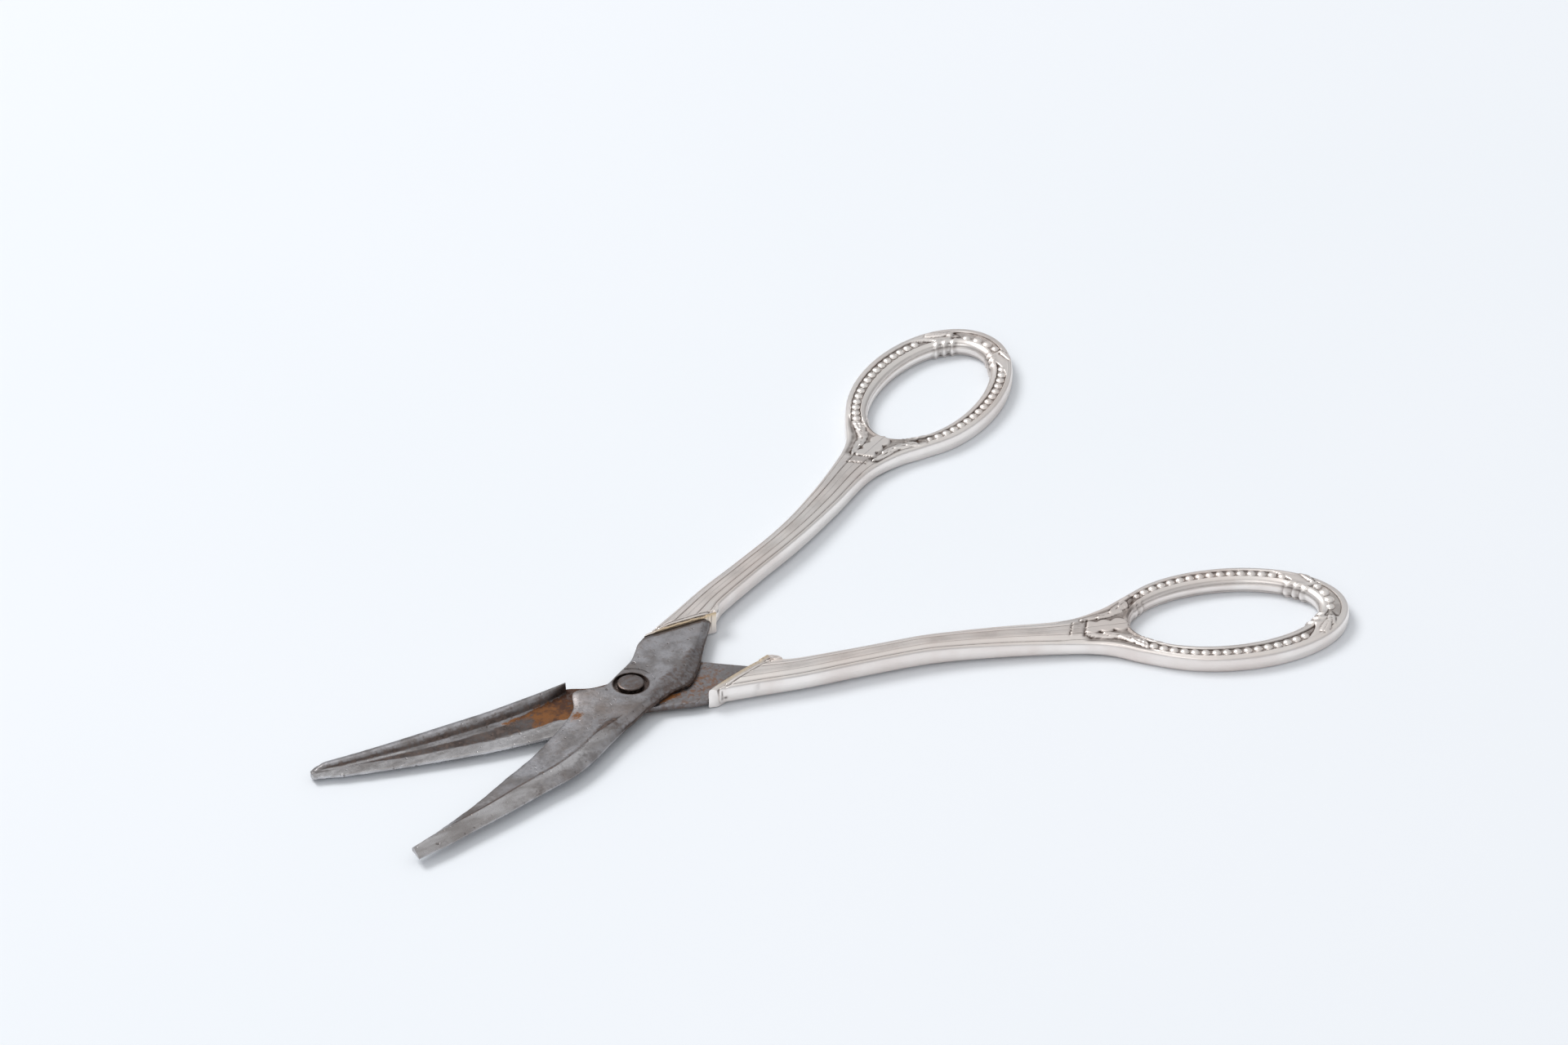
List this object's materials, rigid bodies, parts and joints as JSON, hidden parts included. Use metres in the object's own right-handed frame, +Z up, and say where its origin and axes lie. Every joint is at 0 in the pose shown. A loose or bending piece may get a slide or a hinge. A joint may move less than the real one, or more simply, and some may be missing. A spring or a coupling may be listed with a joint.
{
  "type": "grape scissors",
  "caption": "Hand-held grape scissors with steel blades, a flat lap pivot and filled silver handles ending in oval finger loops.",
  "frame": {"origin": "centre of the bounding box at the surface the scissors lie on", "axes": "+X from the blades to the finger loops along the middle line of the open levers, +Y to the upper lever's finger loop, +Z up along the pivot screw"},
  "size_m": [0.1563, 0.107, 0.004],
  "materials": {
    "worn_steel": "worn, with brown patina and light rust",
    "screw_steel": "brown patina",
    "silver": "stamped relief, polished, tarnished in the grooves",
    "pitch_filling": "dull"
  },
  "bodies": {
    "lower_lever": {"lower_blade": "worn_steel", "pivot_screw": "screw_steel", "lower_handle_top_shell": "silver", "lower_handle_bottom_shell": "silver", "lower_handle_filling": "pitch_filling", "lower_handle_collar": "silver"},
    "upper_lever": {"upper_blade": "worn_steel", "upper_handle_top_shell": "silver", "upper_handle_bottom_shell": "silver", "upper_handle_filling": "pitch_filling", "upper_handle_collar": "silver"}
  },
  "joints": [
    {"name": "lever_hinge", "type": "hinge", "parent": "lower_lever", "child": "upper_lever", "pos_m": [-0.02694, 0, 0.002], "axis": [0, 0, 1], "range_deg": [-27.5, 40]}
  ]
}
